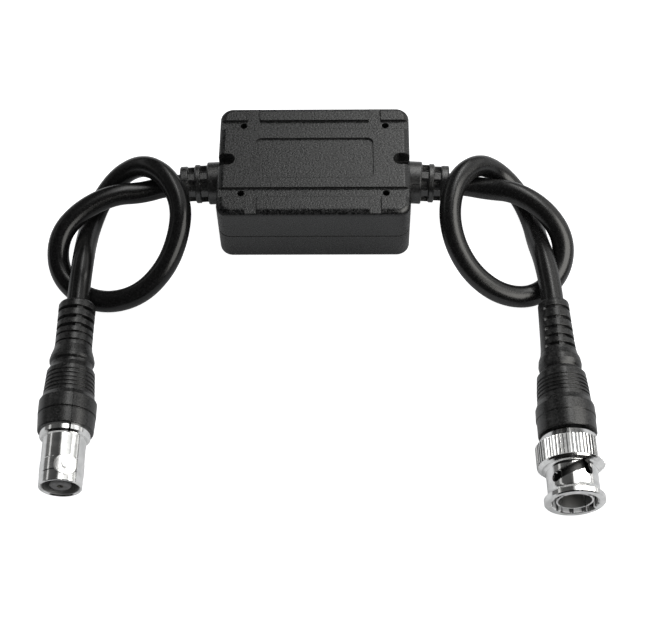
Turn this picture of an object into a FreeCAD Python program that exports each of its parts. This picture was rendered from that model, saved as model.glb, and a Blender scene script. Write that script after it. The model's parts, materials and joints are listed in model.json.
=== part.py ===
"""Video ground loop isolator: a small box between two knotted coaxial leads.

Millimetres, +Z up. X runs from the jack lead to the plug lead and Y away from
the connectors. The origin is the bottom centre of the box, on the table.
Each connector is drawn along its own axis, as station and radius measured from
the tail face of its boot, and is then set down where it lies.
"""
import FreeCAD
import Part
import math
import os

from FreeCAD import Placement, Rotation, Vector

# Box
BOX_LENGTH = 46.0
BOX_WIDTH = 32.0
BOX_HEIGHT = 18.0
CORNER_RADIUS = 3.2
TOP_EDGE_RADIUS = 1.6
BOTTOM_EDGE_RADIUS = 1.0
WALL = 1.8
PARTING_HEIGHT = 8.5
PARTING_LINE_WIDTH = 0.24
PARTING_LINE_DEPTH = 0.16
LIP_HEIGHT = 1.2
LIP_THICKNESS = 0.8
SHELL_CLEARANCE = 0.1

# Relief on the lid, set in from the edges of the box
LID_CENTRE_Y = 0.35
CHANNEL_INSET = 5.85
CHANNEL_WIDTH = 2.7
CHANNEL_DEPTH = 0.6
BRANCH_INSET = 8.3
BRANCH_WIDTH = 2.7
BRANCH_CORNER_RADIUS = 0.5
RECESS_END_MARGIN = 8.8
RECESS_CHANNEL_MARGIN = 2.85
RECESS_DEPTH = 0.45
RECESS_CORNER_RADIUS = 1.5
NOTCH_REACH = 4.0
NOTCH_WIDTH = 3.3
NOTCH_DEPTH = 3.4
NOTCH_WALL = 1.0

# Posts that close the box
POST_INSET = 5.8
POST_RADIUS = 2.0
POST_GAP = 0.15
PIN_HOLE_RADIUS = 0.8
PIN_CLEARANCE = 0.02
PIN_TOP_BELOW_LID = 3.4

# Leads
CABLE_DIAMETER = 5.2
ARC_SHARE = 0.45
BRAID_DIAMETER = 3.5
CORE_DIAMETER = 2.6
CONDUCTOR_DIAMETER = 0.6

# Strain reliefs in the end walls
RELIEF_FLANGE_RADIUS = 4.6
RELIEF_FLANGE_THICKNESS = 1.7
RELIEF_NECK_RADIUS = 3.6
RELIEF_SEAT_GAP = 0.05
RELIEF_SLEEVE_RADIUS = 3.2
RELIEF_RINGS = [(0.0, 3.0, 5.15), (4.65, 1.4, 4.7), (7.65, 1.95, 4.4)]
RELIEF_RING_CHAMFER = 0.25
RELIEF_WEBS = 6
RELIEF_WEB_WIDTH = 1.7
RELIEF_WEB_ANGLE = 12.0
RELIEF_WEB_DROP = 0.3
RELIEF_LEAN = 3.2
JACKET_REACH = 7.0
ROUTE_REACH = 13.0
BRAID_BARE_LENGTH = 0.6
CORE_BARE_LENGTH = 2.4
CONDUCTOR_BEND_RADIUS = 1.2

# Board and what stands on it
BOARD_POST_GAP = 0.4
BOARD_WALL_GAP = 2.2
BOARD_THICKNESS = 1.2
STANDOFF_HEIGHT = 2.6
STANDOFF_RADIUS = 1.6
STANDOFF_INSET = 2.3
STANDOFF_PEG_RADIUS = 0.75
BOARD_HOLE_CLEARANCE = 0.05
TOROID_OUTER_RADIUS = 6.2
TOROID_INNER_RADIUS = 3.4
TOROID_HEIGHT = 4.4
WINDING_WIRE = 0.7
WINDING_TURNS = 6
WINDING_FIRST_ANGLE = 24.0
WINDING_PITCH_ANGLE = 24.0
WINDING_GAP = 0.02
CAPACITOR_RADIUS = 2.6
CAPACITOR_THICKNESS = 1.6
CAPACITOR_SPACING = 8.0
CAPACITOR_LIFT = 0.8
COMPONENT_GAP = 0.7
RESISTOR_LENGTH = 6.0
RESISTOR_RADIUS = 1.1
RESISTOR_END_RADIUS = 0.4
RESISTOR_LEAD_RUN = 1.0
LEAD_RADIUS = 0.25
LEAD_SPREAD = 2.5
LEAD_PROTRUSION = 0.4
PAD_INSET = 3.8

# Where each boot's tail lies: x, y, height, yaw and nose-down tilt in degrees
JACK_TAIL = (-55.05, -35.0, 7.41)
JACK_YAW = 0.5
JACK_TILT = 1.8
PLUG_TAIL = (55.7, -35.3, 8.03)
PLUG_YAW = 1.4
PLUG_TILT = 0.8

# Jack boot: station and radius of the moulded outline, and the angle of the mould's parting
JACKET_GRIP = 4.0
JACK_BOOT_OUTLINE = [(0.0, 4.1), (0.4, 4.3), (10.5, 4.25), (12.0, 4.4), (13.6, 4.9), (14.7, 5.15), (15.3, 5.1),
                     (15.8, 4.7), (16.4, 4.7), (17.0, 5.0), (17.9, 5.45), (24.3, 5.85), (25.5, 6.5),
                     (28.7, 6.5), (28.85, 6.2), (29.05, 6.2), (29.2, 6.45), (32.5, 6.25), (32.8, 6.1)]
JACK_SLOTS = [2.3, 4.8, 7.0]
JACK_LINES = [8.9, 10.9]
JACK_FINE_GROOVES = [19.2, 20.3, 21.4, 22.4, 23.4]
JACK_TOP_ANGLE = 69.5
JACK_SEAM_START = 24.0
JACK_SLOT_WEBS = [(JACK_TOP_ANGLE, 1.3, 0.4), (JACK_TOP_ANGLE + 180, 1.3, 0.4)]

# Plug boot
PLUG_BOOT_OUTLINE = [(0.0, 3.5), (0.4, 3.6), (9.0, 3.85), (11.9, 4.0), (13.5, 4.2), (15.0, 4.75), (16.3, 4.9),
                     (17.3, 4.75), (17.9, 4.45), (18.5, 5.0), (19.1, 5.5), (22.8, 5.85), (25.9, 6.0), (27.3, 6.55),
                     (29.9, 6.65), (30.1, 6.5), (33.6, 6.5), (33.9, 6.3)]
PLUG_SLOTS = [2.3, 5.2, 7.8, 10.1, 12.3]
PLUG_FINE_GROOVES = [21.0, 22.0, 23.0, 23.9, 24.9]
PLUG_SLOT_WEBS = [(84.5, 1.2, 0.4), (180.0, 4.8, 0.0), (264.5, 1.2, 0.4)]

# Relief of both boots. A web has an angle, a width and its depth below the surface
SLOT_WIDTH = 0.9
SLOT_FLOOR_RADIUS = 3.1
SEAM_WIDTH = 0.16
SEAM_DEPTH = 0.12
LINE_WIDTH = 0.5
LINE_DEPTH = 0.45
FINE_GROOVE_WIDTH = 0.5
FINE_GROOVE_DEPTH = 0.25

# Crimped stem, the same on both connectors
STEM_START = 6.2
STEM_RADIUS = 2.3
STEM_BORE_RADIUS = 1.35
FERRULE_START = 6.0
FERRULE_LENGTH = 11.0
FERRULE_RADIUS = 2.9
FERRULE_BORE_RADIUS = 2.35

# Centre contacts of both connectors
CONTACT_WIRE_DEPTH = 4.0
CONTACT_WIRE_GAP = 0.5

# Jack
JACK_SEAT_START = 20.5
JACK_SEAT_RADIUS = 4.5
JACK_FLANGE_START = 32.8
JACK_FLANGE_RADIUS = 5.65
JACK_FLANGE_LENGTH = 1.7
JACK_FLANGE_CHAMFER = 0.45
JACK_FLANGE_SLIT = 0.4
JACK_FLANGE_SLIT_FLOOR = 4.2
JACK_BARREL_RADIUS = 4.825
JACK_BAND_RADIUS = 4.9
JACK_BAND_START = 40.2
JACK_BAND_END = 43.5
JACK_BAND_RAMP = 0.2
JACK_LENGTH = 46.0
JACK_RIM_CHAMFER = 0.12
JACK_MOUTH_CHAMFER = 0.33
JACK_CAVITY_RADIUS = 4.1
JACK_CAVITY_START = 37.5
JACK_INSULATOR_START = 26.0
JACK_INSULATOR_RADIUS = 3.4
JACK_INSULATOR_NOSE_RADIUS = 2.4
JACK_INSULATOR_NOSE_CHAMFER = 0.3
JACK_INSULATOR_SETBACK = 0.4
JACK_CONTACT_RADIUS = 1.1
JACK_CONTACT_SETBACK = 0.6
JACK_SOCKET_RADIUS = 0.7
JACK_SOCKET_DEPTH = 6.0
JACK_SOCKET_MOUTH_RADIUS = 0.8
JACK_SOCKET_SLOT = 0.22
JACK_SOCKET_SLOT_LENGTH = 4.0
LUG_STATION = 42.2
LUG_RADIUS = 1.0
LUG_TIP_RADIUS = 5.5
LUG_PAD_RADIUS = 2.4
LUG_PAD_CROWN_RADIUS = 4.93
LUG_PAD_SEAT_RADIUS = 4.6
LUG_PAD_SEAT_GAP = 0.14
LUG_SHANK_RADIUS = 0.7
LUG_SHANK_START = 4.2

# Plug
PLUG_SEAT_START = 20.5
PLUG_SEAT_RADIUS = 4.4
COLLAR_START = 37.0
COLLAR_END = 38.5
COLLAR_RADIUS = 5.7
PLUG_SHELL_RADIUS = 4.05
PLUG_SHELL_NECK_RADIUS = 3.86
PLUG_SHELL_LAND_START = 45.8
PLUG_SHELL_BORE_RADIUS = 3.6
PLUG_SHELL_END = 49.3
PLUG_SHELL_SLOT = 0.3
PLUG_SHELL_SLOT_LENGTH = 6.0
PLUG_SHELL_SLOTS = 4
PLUG_INSULATOR_START = 26.0
PLUG_INSULATOR_END = 42.6
PLUG_PIN_RADIUS = 0.675
PLUG_PIN_END = 47.2
PLUG_PIN_TIP = 0.8
PLUG_PIN_SHANK_RADIUS = 1.1
GASKET_RADIUS = 4.8
GASKET_THICKNESS = 0.8

# Coupling ring and the parts that carry it
RING_START = 34.9
RING_END = 49.9
RING_REAR_RADIUS = 6.35
KNURL_START = 36.5
KNURL_END = 41.2
KNURL_RADIUS = 7.45
KNURL_DEPTH = 0.3
KNURL_TEETH = 60
RING_BARREL_START = 42.6
RING_BARREL_RADIUS = 5.65
RING_BARREL_END = 47.2
RING_RIM_RADIUS = 6.65
RING_RIM_START = 48.7
RING_RIM_CHAMFER = 0.22
RING_BORE_RADIUS = 4.98
RING_MOUTH_CHAMFER = 0.32
RING_POCKET_CLEARANCE = 0.05
RING_SHOULDER_GAP = 0.1
SLOT_PATH_WIDTH = 2.1
SLOT_ENTRY_ANGLE = -48.0
SLOT_END_ANGLE = 25.0
SLOT_ENTRY_STATION = 45.3
SLOT_RISE = 2.5
DETENT_ANGLE = 31.0
DETENT_STATION = 44.2
LUG_TRACK_RADIUS = 5.62
RING_TRAVEL = 0.6
SPRING_HEIGHT = 0.9
SPRING_THICKNESS = 0.2
SPRING_WAVES = 3
SPRING_INNER_RADIUS = 4.55
SPRING_OUTER_RADIUS = 5.45
WASHER_THICKNESS = 0.35
WASHER_CLEARANCE = 0.05
RETAINER_THICKNESS = 0.4
RETAINER_INNER_RADIUS = 4.75
RETAINER_GROOVE_RADIUS = 6.0
RETAINER_GAP_WIDTH = 1.6

# Routes of the two leads between a point past the relief's tip and one behind the boot's tail
LEFT_ROUTE = [
    (-42.0, -3.0, 8.5), (-49.0, -4.5, 10.0), (-56.5, -9.0, 9.5),
    (-61.5, -15.0, 7.5), (-61.5, -22.5, 4.0), (-56.5, -28.5, 2.5), (-49.0, -31.5, 3.0), (-41.0, -30.0, 4.5),
    (-35.0, -24.5, 7.5), (-32.0, -17.5, 11.0), (-31.5, -10.0, 14.0), (-35.5, -2.5, 15.0), (-41.5, 2.5, 13.0),
    (-48.0, 3.0, 8.0), (-53.0, -1.5, 3.5), (-55.0, -9.0, 3.0), (-55.0, -16.5, 6.0), (-54.5, -24.0, 9.5)]
RIGHT_ROUTE = [
    (42.0, -2.2, 8.5), (48.5, -4.0, 10.0), (55.5, -9.0, 9.5),
    (60.0, -15.5, 6.5), (59.0, -23.0, 3.5), (53.0, -29.5, 2.5), (45.0, -30.0, 3.5), (38.0, -26.0, 6.0),
    (33.5, -19.5, 9.5), (32.0, -12.0, 13.0), (34.0, -4.0, 15.0), (39.5, 2.0, 13.5), (45.0, 3.5, 8.0),
    (50.5, -0.5, 3.5), (53.2, -7.5, 2.5), (53.7, -15.5, 5.0), (54.4, -23.0, 9.0)]
TAIL_RUN_OUTSIDE = 3.5

HALF_LENGTH = BOX_LENGTH / 2
CABLE_RADIUS = CABLE_DIAMETER / 2
JACKET_START = HALF_LENGTH + JACKET_REACH
CHANNEL_OFFSET = BOX_WIDTH / 2 - CHANNEL_INSET
BRANCH_OFFSET = HALF_LENGTH - BRANCH_INSET
RECESS_LENGTH = BOX_LENGTH - 2 * RECESS_END_MARGIN
RECESS_WIDTH = 2 * (CHANNEL_OFFSET - CHANNEL_WIDTH / 2 - RECESS_CHANNEL_MARGIN)
POST_OFFSET_X = HALF_LENGTH - POST_INSET
BOARD_LENGTH = 2 * (POST_OFFSET_X - POST_RADIUS - BOARD_POST_GAP)
BOARD_WIDTH = BOX_WIDTH - 2 * (WALL + BOARD_WALL_GAP)
PAD_OFFSET_X = BOARD_LENGTH / 2 - PAD_INSET
COMPONENT_REACH = TOROID_OUTER_RADIUS + WINDING_GAP + WINDING_WIRE + COMPONENT_GAP
BOARD_BOTTOM = WALL + STANDOFF_HEIGHT
BOARD_TOP = BOARD_BOTTOM + BOARD_THICKNESS
LID_UNDERSIDE = BOX_HEIGHT - WALL
AXIS_X = Vector(1, 0, 0)
AXIS_Y = Vector(0, 1, 0)
AXIS_Z = Vector(0, 0, 1)
ORIGIN = Vector(0, 0, 0)


# General helpers

def box(x0, x1, y0, y1, z0, z1):
    return Part.makeBox(x1 - x0, y1 - y0, z1 - z0, Vector(x0, y0, z0))


def upright(radius, x, y, z0, z1):
    return Part.makeCylinder(radius, z1 - z0, Vector(x, y, z0), AXIS_Z)


def rounded_block(length, width, z0, z1, radius, centre_y=0.0):
    block = box(-length / 2, length / 2, centre_y - width / 2, centre_y + width / 2, z0, z1)
    return block.makeFillet(radius, [e for e in block.Edges if is_upright(e)])


def is_upright(edge):
    first, last = edge.Vertexes[0].Point, edge.Vertexes[-1].Point
    return abs(first.x - last.x) < 1e-6 and abs(first.y - last.y) < 1e-6


def is_level_at(edge, height):
    return all(abs(v.Point.z - height) < 1e-6 for v in edge.Vertexes)


def revolved(outline):
    """Solid of revolution about the X axis from (station, radius) points of a closed outline."""
    points = [Vector(s, r, 0) for s, r in outline]
    face = Part.Face(Part.makePolygon(points + points[:1]))
    return face.revolve(ORIGIN, AXIS_X, 360)


def sleeve(start, end, outer, inner):
    return revolved([(start, inner), (start, outer), (end, outer), (end, inner)])


def rod(start, end, radius):
    return Part.makeCylinder(radius, end - start, Vector(start, 0, 0), AXIS_X)


def spoke(station, angle, width, length, inner, outer):
    """Radial bar of a given axial length and width, angle measured from +Y towards +Z."""
    bar = box(station - length / 2, station + length / 2, inner, outer, -width / 2, width / 2)
    bar.rotate(ORIGIN, AXIS_X, angle)
    return bar


def radial_rod(station, angle, radius, inner, outer):
    stub = Part.makeCylinder(radius, outer - inner, Vector(station, inner, 0), AXIS_Y)
    stub.rotate(ORIGIN, AXIS_X, angle)
    return stub


def fused(shapes):
    first, rest = shapes[0], shapes[1:]
    return first.multiFuse(rest).removeSplitter() if rest else first


def mirrored_x(shape):
    return shape.mirror(ORIGIN, AXIS_X)


# Placing a connector

def connector_placement(tail, yaw, tilt):
    """Local X runs from the boot's tail to the mouth, local Z stays near +Z."""
    towards_mouth = Rotation(AXIS_Z, -90 + yaw)
    nose_down = Rotation(AXIS_Y, tilt)
    return Placement(Vector(*tail), towards_mouth.multiply(nose_down))


JACK_PLACE = connector_placement(JACK_TAIL, JACK_YAW, JACK_TILT)
PLUG_PLACE = connector_placement(PLUG_TAIL, PLUG_YAW, PLUG_TILT)


def placed(shape, placement):
    return shape.transformed(placement.toMatrix())


# Leads

def full_route(side, route, placement):
    """Two points on the relief's axis, the chosen ones, and two on the boot's axis, the last inside its tail."""
    first = [Vector(side * point.x, point.y, point.z) for point in relief_route()]
    outside = placement.multVec(Vector(-TAIL_RUN_OUTSIDE, 0, 0))
    inside = placement.multVec(Vector(JACKET_GRIP, 0, 0))
    return first + [Vector(*point) for point in route] + [outside, inside]


def bend(before, corner, after):
    """Tangent arc at a corner of the route: its two ends, its middle and its radius."""
    back, ahead = before - corner, after - corner
    reach = ARC_SHARE * min(back.Length, ahead.Length)
    back.normalize()
    ahead.normalize()
    half_turn = (math.pi - back.getAngle(ahead)) / 2
    radius = reach / math.tan(half_turn)
    towards_centre = back + ahead
    towards_centre.normalize()
    centre = corner + towards_centre * (radius / math.cos(half_turn))
    middle = centre - towards_centre * radius
    return corner + back * reach, middle, corner + ahead * reach, radius


def lead_path(route):
    edges, radii = [], []
    here = route[0]
    for before, corner, after in zip(route, route[1:], route[2:]):
        start, middle, end, radius = bend(before, corner, after)
        edges.append(Part.LineSegment(here, start).toShape())
        edges.append(Part.Arc(start, middle, end).toShape())
        radii.append(round(radius, 1))
        here = end
    edges.append(Part.LineSegment(here, route[-1]).toShape())
    return Part.Wire(edges), radii


def lead(name, route):
    path, radii = lead_path(route)
    heading = route[1] - route[0]
    section = Part.Wire(Part.makeCircle(CABLE_RADIUS, route[0], heading))
    tube = path.makePipeShell([section], True, False)
    expected = math.pi * CABLE_RADIUS ** 2 * path.Length
    print(name, "length", round(path.Length, 1), "radii", radii)
    print(name, "volume over section times length", round(tube.Volume / expected, 4))
    return tube


# Box shells

def box_outside():
    block = rounded_block(BOX_LENGTH, BOX_WIDTH, 0, BOX_HEIGHT, CORNER_RADIUS)
    block = block.makeFillet(TOP_EDGE_RADIUS, [e for e in block.Edges if is_level_at(e, BOX_HEIGHT)])
    return block.makeFillet(BOTTOM_EDGE_RADIUS, [e for e in block.Edges if is_level_at(e, 0)])


def box_inside():
    return rounded_block(BOX_LENGTH - 2 * WALL, BOX_WIDTH - 2 * WALL, WALL, LID_UNDERSIDE, CORNER_RADIUS - WALL)


def wall_ring(inset, thickness, z0, z1):
    """Upright band inside the outer face: from an inset to the inset plus a thickness."""
    outer = rounded_block(BOX_LENGTH - 2 * inset, BOX_WIDTH - 2 * inset, z0, z1, CORNER_RADIUS - inset)
    deep = inset + thickness
    inner = rounded_block(BOX_LENGTH - 2 * deep, BOX_WIDTH - 2 * deep, z0, z1, CORNER_RADIUS - deep)
    return outer.cut(inner)


def parting_line():
    return wall_ring(-1.0, 1.0 + PARTING_LINE_DEPTH, PARTING_HEIGHT - PARTING_LINE_WIDTH / 2,
                     PARTING_HEIGHT + PARTING_LINE_WIDTH / 2)


def relief_seats():
    """Round hole through both end walls, half in each shell."""
    start = Vector(-HALF_LENGTH - 1, 0, PARTING_HEIGHT)
    return Part.makeCylinder(RELIEF_NECK_RADIUS, BOX_LENGTH + 2, start, AXIS_X)


def channel_centre(side):
    return LID_CENTRE_Y + side * CHANNEL_OFFSET


def post_places():
    return [(sx * POST_OFFSET_X, channel_centre(sy)) for sx in (-1, 1) for sy in (-1, 1)]


def channel_cutter(side):
    """One long channel with two short branches out to the long edge."""
    floor = BOX_HEIGHT - CHANNEL_DEPTH
    top = BOX_HEIGHT + 1
    centre = channel_centre(side)
    channel = box(-HALF_LENGTH, HALF_LENGTH, centre - CHANNEL_WIDTH / 2, centre + CHANNEL_WIDTH / 2, floor, top)
    branches = []
    for x in (-BRANCH_OFFSET, BRANCH_OFFSET):
        near, far = sorted((centre, side * BOX_WIDTH / 2))
        branches.append(box(x - BRANCH_WIDTH / 2, x + BRANCH_WIDTH / 2, near, far, floor, top))
    cutter = fused([channel] + branches)
    outer_y = centre + side * CHANNEL_WIDTH / 2
    corners = [e for e in cutter.Edges if is_upright(e) and abs(e.Vertexes[0].Point.y - outer_y) < 1e-6
               and abs(e.Vertexes[0].Point.x) < BRANCH_OFFSET + BRANCH_WIDTH]
    return cutter.makeFillet(BRANCH_CORNER_RADIUS, corners)


def notch_cutter(side):
    """Round-ended notch let into an end of the lid."""
    tip = HALF_LENGTH - NOTCH_REACH + NOTCH_WIDTH / 2
    z0, z1 = BOX_HEIGHT - NOTCH_DEPTH, BOX_HEIGHT + 1
    slot = box(tip, HALF_LENGTH + 1, -NOTCH_WIDTH / 2, NOTCH_WIDTH / 2, z0, z1)
    cutter = slot.fuse(upright(NOTCH_WIDTH / 2, tip, 0, z0, z1))
    return cutter if side > 0 else mirrored_x(cutter)


def notch_block(side):
    """Thicker wall that keeps the box closed behind a notch."""
    near = HALF_LENGTH - NOTCH_REACH - NOTCH_WALL
    half = NOTCH_WIDTH / 2 + NOTCH_WALL
    block = box(near, HALF_LENGTH - WALL, -half, half, BOX_HEIGHT - NOTCH_DEPTH - NOTCH_WALL, LID_UNDERSIDE)
    return block if side > 0 else mirrored_x(block)


def upper_shell():
    shell = box_outside().cut(box_inside())
    shell = shell.common(box(-BOX_LENGTH, BOX_LENGTH, -BOX_WIDTH, BOX_WIDTH, PARTING_HEIGHT, BOX_HEIGHT))
    post_bottom = PARTING_HEIGHT + POST_GAP
    posts = [upright(POST_RADIUS, x, y, post_bottom, LID_UNDERSIDE) for x, y in post_places()]
    shell = fused([shell] + posts + [notch_block(-1), notch_block(1)])
    rebate = wall_ring(WALL - LIP_THICKNESS - SHELL_CLEARANCE, LIP_THICKNESS + SHELL_CLEARANCE + 1e-3,
                       PARTING_HEIGHT, PARTING_HEIGHT + LIP_HEIGHT + SHELL_CLEARANCE)
    pin_holes = [upright(PIN_HOLE_RADIUS, x, y, PARTING_HEIGHT, BOX_HEIGHT) for x, y in post_places()]
    recess = rounded_block(RECESS_LENGTH, RECESS_WIDTH, BOX_HEIGHT - RECESS_DEPTH, BOX_HEIGHT + 1,
                           RECESS_CORNER_RADIUS, LID_CENTRE_Y)
    cuts = [rebate, parting_line(), relief_seats(), recess, channel_cutter(-1), channel_cutter(1),
            notch_cutter(-1), notch_cutter(1)]
    for cutter in cuts + pin_holes:
        shell = shell.cut(cutter)
    return shell


def lower_shell():
    shell = box_outside().cut(box_inside())
    shell = shell.common(box(-BOX_LENGTH, BOX_LENGTH, -BOX_WIDTH, BOX_WIDTH, 0, PARTING_HEIGHT))
    lip = wall_ring(WALL - LIP_THICKNESS, LIP_THICKNESS, PARTING_HEIGHT, PARTING_HEIGHT + LIP_HEIGHT)
    posts = [upright(POST_RADIUS, x, y, WALL, PARTING_HEIGHT) for x, y in post_places()]
    pins = [upright(PIN_HOLE_RADIUS - PIN_CLEARANCE, x, y, PARTING_HEIGHT, BOX_HEIGHT - PIN_TOP_BELOW_LID)
            for x, y in post_places()]
    standoffs = []
    for x, y in standoff_places():
        standoffs.append(upright(STANDOFF_RADIUS, x, y, WALL, BOARD_BOTTOM))
        standoffs.append(upright(STANDOFF_PEG_RADIUS, x, y, BOARD_BOTTOM, BOARD_TOP))
    shell = fused([shell, lip] + posts + pins + standoffs)
    return shell.cut(parting_line()).cut(relief_seats())


# Strain reliefs

def relief_stations():
    """Rings as (start, end, radius), measured out from the middle of the box."""
    wall_face = HALF_LENGTH + RELIEF_SEAT_GAP
    return [(wall_face + offset, wall_face + offset + width, radius) for offset, width, radius in RELIEF_RINGS]


def relief_ring(start, end, radius):
    c = RELIEF_RING_CHAMFER
    return revolved([(start, 0), (start, radius - c), (start + c, radius), (end - c, radius),
                     (end, radius - c), (end, 0)])


def leaning(shape_or_point):
    """Turns what lies outside the +X wall towards the connectors, as the lead pulls the soft relief."""
    pivot = Vector(HALF_LENGTH, 0, 0)
    lean = Placement(Vector(), Rotation(AXIS_Z, -RELIEF_LEAN), pivot)
    if isinstance(shape_or_point, Vector):
        return lean.multVec(shape_or_point)
    return placed(shape_or_point, lean)


def wall_bend():
    """Arc from the axis of the hole in the wall to the relief's: its near end, middle and far end."""
    corner = Vector(HALF_LENGTH, 0, 0)
    reach = Vector(JACKET_START - HALF_LENGTH, 0, 0)
    near, middle, far, radius = bend(corner - reach, corner, leaning(corner + reach))
    return near, middle, far


def bent_rod(start, radius):
    """Straight through the wall, then leaning with the relief up to the jacket's end."""
    near, middle, far = wall_bend()
    first, last = Vector(start, 0, 0), leaning(Vector(JACKET_START, 0, 0))
    path = Part.Wire([Part.makeLine(first, near), Part.Arc(near, middle, far).toShape(), Part.makeLine(far, last)])
    section = Part.Wire(Part.makeCircle(radius, first, AXIS_X))
    return path.makePipeShell([section], True, False)


def relief_outside():
    """Rings, webs and sleeve that lean with the lead, trimmed flat where they meet the wall."""
    rings = relief_stations()
    wall_face, tip = rings[0][0], rings[-1][1]
    rings[0] = (wall_face - 1, rings[0][1], rings[0][2])
    pieces = [rod(wall_face - 1, tip, RELIEF_SLEEVE_RADIUS)] + [relief_ring(*ring) for ring in rings]
    for lower, upper in zip(rings, rings[1:]):
        web_top = min(lower[2], upper[2]) - RELIEF_WEB_DROP
        length = upper[0] - lower[1] + 2 * RELIEF_RING_CHAMFER
        middle = (upper[0] + lower[1]) / 2
        for k in range(RELIEF_WEBS):
            angle = 90 + RELIEF_WEB_ANGLE + k * 360 / RELIEF_WEBS
            pieces.append(spoke(middle, angle, RELIEF_WEB_WIDTH, length, RELIEF_SLEEVE_RADIUS / 2, web_top))
    reach = 2 * rings[0][2]
    return leaning(fused(pieces)).cut(box(0, wall_face, -reach, reach, -reach, reach))


def strain_relief():
    """Moulded sleeve with rings and webs on the +X side, axis on X at height zero."""
    inner_face = HALF_LENGTH - WALL - RELIEF_SEAT_GAP
    flange_start = inner_face - RELIEF_FLANGE_THICKNESS
    relief = fused([rod(flange_start, inner_face, RELIEF_FLANGE_RADIUS),
                    rod(flange_start, HALF_LENGTH + RELIEF_SEAT_GAP + 0.3, RELIEF_NECK_RADIUS), relief_outside()])
    relief = relief.cut(bent_rod(flange_start - 1, BRAID_DIAMETER / 2))
    return relief.cut(leaning(rod(JACKET_START, HALF_LENGTH + ROUTE_REACH, CABLE_RADIUS)))


def relief_route():
    """Start of a lead on the +X side: the jacket's end in the relief, and a point past its tip."""
    stations = (JACKET_START, HALF_LENGTH + ROUTE_REACH)
    return [leaning(Vector(x, 0, 0)) + Vector(0, 0, PARTING_HEIGHT) for x in stations]


def lead_end_parts():
    """Stripped end of a lead inside the box, on the +X side at height zero."""
    flange_start = HALF_LENGTH - WALL - RELIEF_SEAT_GAP - RELIEF_FLANGE_THICKNESS
    core = bent_rod(flange_start - CORE_BARE_LENGTH, CORE_DIAMETER / 2)
    braid = bent_rod(flange_start - BRAID_BARE_LENGTH, BRAID_DIAMETER / 2).cut(core)
    return braid, core.cut(conductor_wire())


def conductor_wire():
    """Centre conductor: out of the lead, through the wall, then bent down through the board, on the +X side."""
    r = CONDUCTOR_DIAMETER / 2
    drop = PARTING_HEIGHT - BOARD_BOTTOM + LEAD_PROTRUSION
    bend_radius = CONDUCTOR_BEND_RADIUS
    near, middle, far = wall_bend()
    first = leaning(Vector(JACKET_START, 0, 0))
    above_pad = Vector(PAD_OFFSET_X + bend_radius, 0, 0)
    turn = Vector(PAD_OFFSET_X + bend_radius * (1 - math.sqrt(0.5)), 0, -bend_radius * (1 - math.sqrt(0.5)))
    turn_end = Vector(PAD_OFFSET_X, 0, -bend_radius)
    path = Part.Wire([
        Part.makeLine(first, far), Part.Arc(far, middle, near).toShape(), Part.makeLine(near, above_pad),
        Part.Arc(above_pad, turn, turn_end).toShape(), Part.makeLine(turn_end, Vector(PAD_OFFSET_X, 0, -drop))])
    section = Part.Wire(Part.makeCircle(r, first, far - first))
    return path.makePipeShell([section], True, False)


def at_end_wall(shape, side):
    """Sets a +X part at the height of the parting line, mirrored for the -X end."""
    side_shape = shape if side > 0 else mirrored_x(shape)
    return side_shape.translated(Vector(0, 0, PARTING_HEIGHT))


# Board and components

def standoff_places():
    half_length, half_width = BOARD_LENGTH / 2, BOARD_WIDTH / 2
    return [(sx * (half_length - STANDOFF_INSET), sy * (half_width - STANDOFF_INSET))
            for sx in (-1, 1) for sy in (-1, 1)]


def circuit_board():
    board = box(-BOARD_LENGTH / 2, BOARD_LENGTH / 2, -BOARD_WIDTH / 2, BOARD_WIDTH / 2, BOARD_BOTTOM, BOARD_TOP)
    holes = [upright(STANDOFF_PEG_RADIUS + BOARD_HOLE_CLEARANCE, x, y, 0, BOARD_TOP + 1)
             for x, y in standoff_places()]
    holes += [upright(CONDUCTOR_DIAMETER / 2, sx * PAD_OFFSET_X, 0, 0, BOARD_TOP + 1) for sx in (-1, 1)]
    holes += [upright(LEAD_RADIUS, x, y, 0, BOARD_TOP + 1) for x, y in component_lead_places()]
    for hole in holes:
        board = board.cut(hole)
    return board


def toroid_core():
    base = BOARD_TOP + WINDING_WIRE + WINDING_GAP
    ring = upright(TOROID_OUTER_RADIUS, 0, 0, base, base + TOROID_HEIGHT)
    return ring.cut(upright(TOROID_INNER_RADIUS, 0, 0, base, base + TOROID_HEIGHT))


def winding_turn(angle):
    """One square turn of wire round the ring, at an angle about the ring's axis."""
    wire = WINDING_WIRE
    inner_face = TOROID_INNER_RADIUS - WINDING_GAP
    outer_face = TOROID_OUTER_RADIUS + WINDING_GAP
    base = BOARD_TOP + WINDING_WIRE
    top = base + TOROID_HEIGHT + 2 * WINDING_GAP
    outside = box(inner_face - wire, outer_face + wire, -wire / 2, wire / 2, base - wire, top + wire)
    edges = [e for e in outside.Edges if abs(e.Vertexes[0].Point.y - e.Vertexes[1].Point.y) > wire / 2]
    outside = outside.makeFillet(wire * 0.6, edges)
    window = box(inner_face, outer_face, -wire, wire, base, top)
    turn = outside.cut(window)
    turn.rotate(ORIGIN, AXIS_Z, angle)
    return turn


def winding(first_angle):
    turns = [winding_turn(first_angle + k * WINDING_PITCH_ANGLE) for k in range(WINDING_TURNS)]
    return Part.makeCompound(turns)


def capacitor_places():
    y = COMPONENT_REACH + CAPACITOR_THICKNESS / 2
    return [(-CAPACITOR_SPACING / 2, y), (CAPACITOR_SPACING / 2, y)]


def resistor_place():
    return 0.0, -COMPONENT_REACH - RESISTOR_RADIUS


def component_lead_places():
    places = [(x + sx * LEAD_SPREAD / 2, y) for x, y in capacitor_places() for sx in (-1, 1)]
    x, y = resistor_place()
    half = RESISTOR_LENGTH / 2 + RESISTOR_LEAD_RUN
    return places + [(x - half, y), (x + half, y)]


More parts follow.
